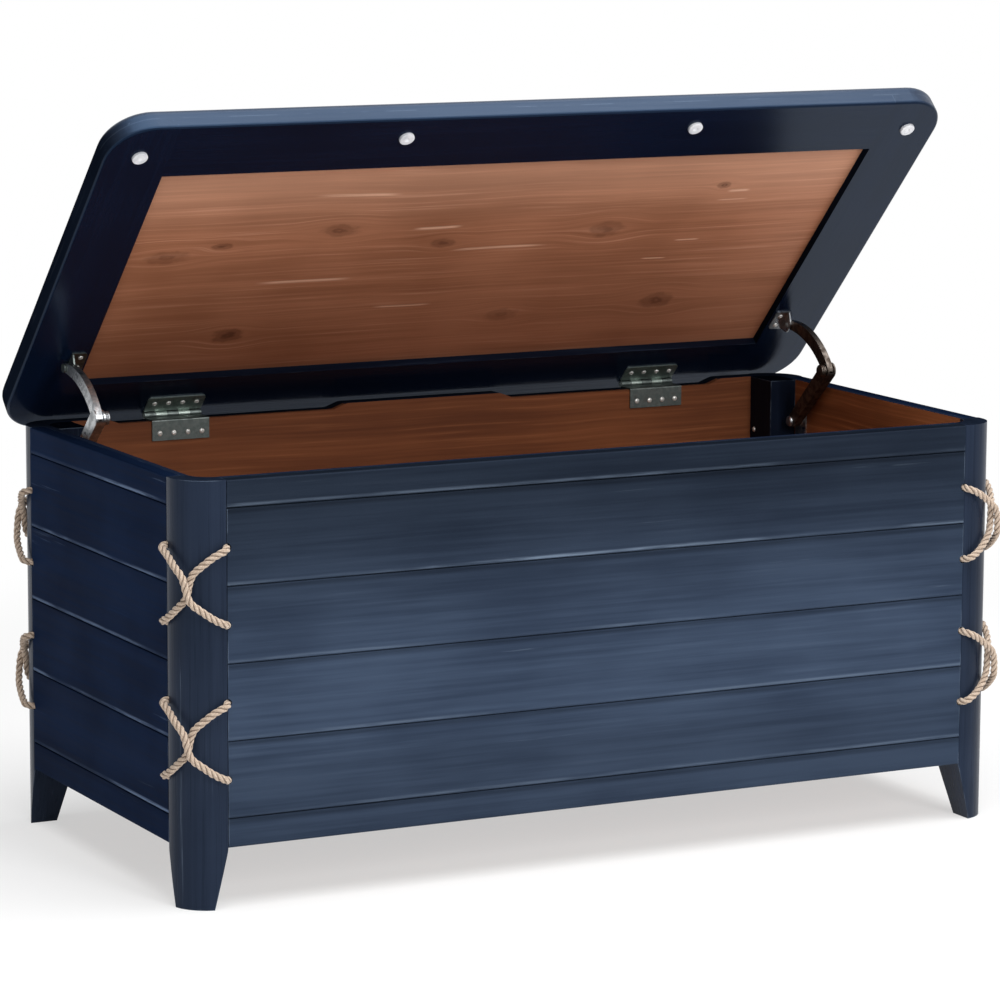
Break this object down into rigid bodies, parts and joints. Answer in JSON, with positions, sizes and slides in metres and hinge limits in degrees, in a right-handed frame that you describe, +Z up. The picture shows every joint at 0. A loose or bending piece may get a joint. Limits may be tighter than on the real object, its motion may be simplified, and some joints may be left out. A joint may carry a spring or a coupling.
{
  "type": "storage chest",
  "caption": "Navy plank storage chest with rounded corner posts, rope lashings, cedar lining and a hinged lid held open by folding stays.",
  "frame": {"origin": "on the floor, below the middle of the chest's overall length and depth as stored, with the lid open at 45.5 degrees", "axes": "+X along the chest to its right end as seen from the front, +Y towards the back, where the hinges are, +Z up"},
  "size_m": [1.118, 0.5679, 0.8922],
  "materials": {
    "navy_painted_wood": "satin navy paint brushed along the boards, worn lighter at the edges",
    "cedar": "open-grained cedar with knots, unpainted",
    "batten_wood": "sawn softwood",
    "zinc_steel": "zinc-plated pressed steel",
    "white_plastic": "soft white plastic",
    "rope": "natural laid rope"
  },
  "bodies": {
    "case": {"back_bottom_strip": "navy_painted_wood", "back_left_lashings": "rope", "back_left_post": "navy_painted_wood", "back_lining": "cedar", "back_plank_1": "navy_painted_wood", "back_plank_2": "navy_painted_wood", "back_plank_3": "navy_painted_wood", "back_plank_4": "navy_painted_wood", "back_right_lashings": "rope", "back_right_post": "navy_painted_wood", "back_top_strip": "navy_painted_wood", "case_screws": "zinc_steel", "floor_cleats": "batten_wood", "floor_panel": "cedar", "front_bottom_strip": "navy_painted_wood", "front_left_lashings": "rope", "front_left_post": "navy_painted_wood", "front_lining": "cedar", "front_plank_1": "navy_painted_wood", "front_plank_2": "navy_painted_wood", "front_plank_3": "navy_painted_wood", "front_plank_4": "navy_painted_wood", "front_right_lashings": "rope", "front_right_post": "navy_painted_wood", "front_top_strip": "navy_painted_wood", "hinge_case_leaves": "zinc_steel", "hinge_pins": "zinc_steel", "left_bottom_strip": "navy_painted_wood", "left_lining": "cedar", "left_plank_1": "navy_painted_wood", "left_plank_2": "navy_painted_wood", "left_plank_3": "navy_painted_wood", "left_plank_4": "navy_painted_wood", "left_stay_wall_bracket": "zinc_steel", "left_top_strip": "navy_painted_wood", "rear_corner_blocks": "navy_painted_wood", "right_bottom_strip": "navy_painted_wood", "right_lining": "cedar", "right_plank_1": "navy_painted_wood", "right_plank_2": "navy_painted_wood", "right_plank_3": "navy_painted_wood", "right_plank_4": "navy_painted_wood", "right_stay_wall_bracket": "zinc_steel", "right_top_strip": "navy_painted_wood"},
    "lid": {"hinge_lid_leaves": "zinc_steel", "left_stay_lid_bracket": "zinc_steel", "lid_bumpers": "white_plastic", "lid_cedar_panel": "cedar", "lid_front_rail": "navy_painted_wood", "lid_left_stile": "navy_painted_wood", "lid_rear_rail": "navy_painted_wood", "lid_right_stile": "navy_painted_wood", "lid_screws": "zinc_steel", "lid_top_board": "navy_painted_wood", "right_stay_lid_bracket": "zinc_steel"},
    "left_lower_arm": {"left_stay_lower_arm": "zinc_steel"},
    "left_upper_arm": {"left_stay_upper_arm": "zinc_steel"},
    "right_lower_arm": {"right_stay_lower_arm": "zinc_steel"},
    "right_upper_arm": {"right_stay_upper_arm": "zinc_steel"}
  },
  "joints": [
    {"name": "lid_hinge", "type": "hinge", "parent": "case", "child": "lid", "pos_m": [0, 0.2518, 0.4904], "axis": [-1, 0, 0], "range_deg": [-45.2, 30]},
    {"name": "left_stay_wall_pivot", "type": "hinge", "parent": "case", "child": "left_lower_arm", "pos_m": [-0.5047, 0.1568, 0.4414], "axis": [-1, 0, 0], "range_deg": [-45.2, 30]},
    {"name": "left_stay_elbow", "type": "hinge", "parent": "left_lower_arm", "child": "left_upper_arm", "pos_m": [-0.5047, 0.07473, 0.51778], "axis": [-1, 0, 0], "range_deg": [-30, 45.2]},
    {"name": "right_stay_wall_pivot", "type": "hinge", "parent": "case", "child": "right_lower_arm", "pos_m": [0.5047, 0.1568, 0.4414], "axis": [-1, 0, 0], "range_deg": [-45.2, 30]},
    {"name": "right_stay_elbow", "type": "hinge", "parent": "right_lower_arm", "child": "right_upper_arm", "pos_m": [0.5047, 0.07473, 0.51778], "axis": [-1, 0, 0], "range_deg": [-30, 45.2]}
  ],
  "couplings": [
    {"joint": "left_stay_wall_pivot", "follows": "lid_hinge", "ratio": 1},
    {"joint": "left_stay_elbow", "follows": "lid_hinge", "ratio": -1},
    {"joint": "right_stay_wall_pivot", "follows": "lid_hinge", "ratio": 1},
    {"joint": "right_stay_elbow", "follows": "lid_hinge", "ratio": -1}
  ]
}
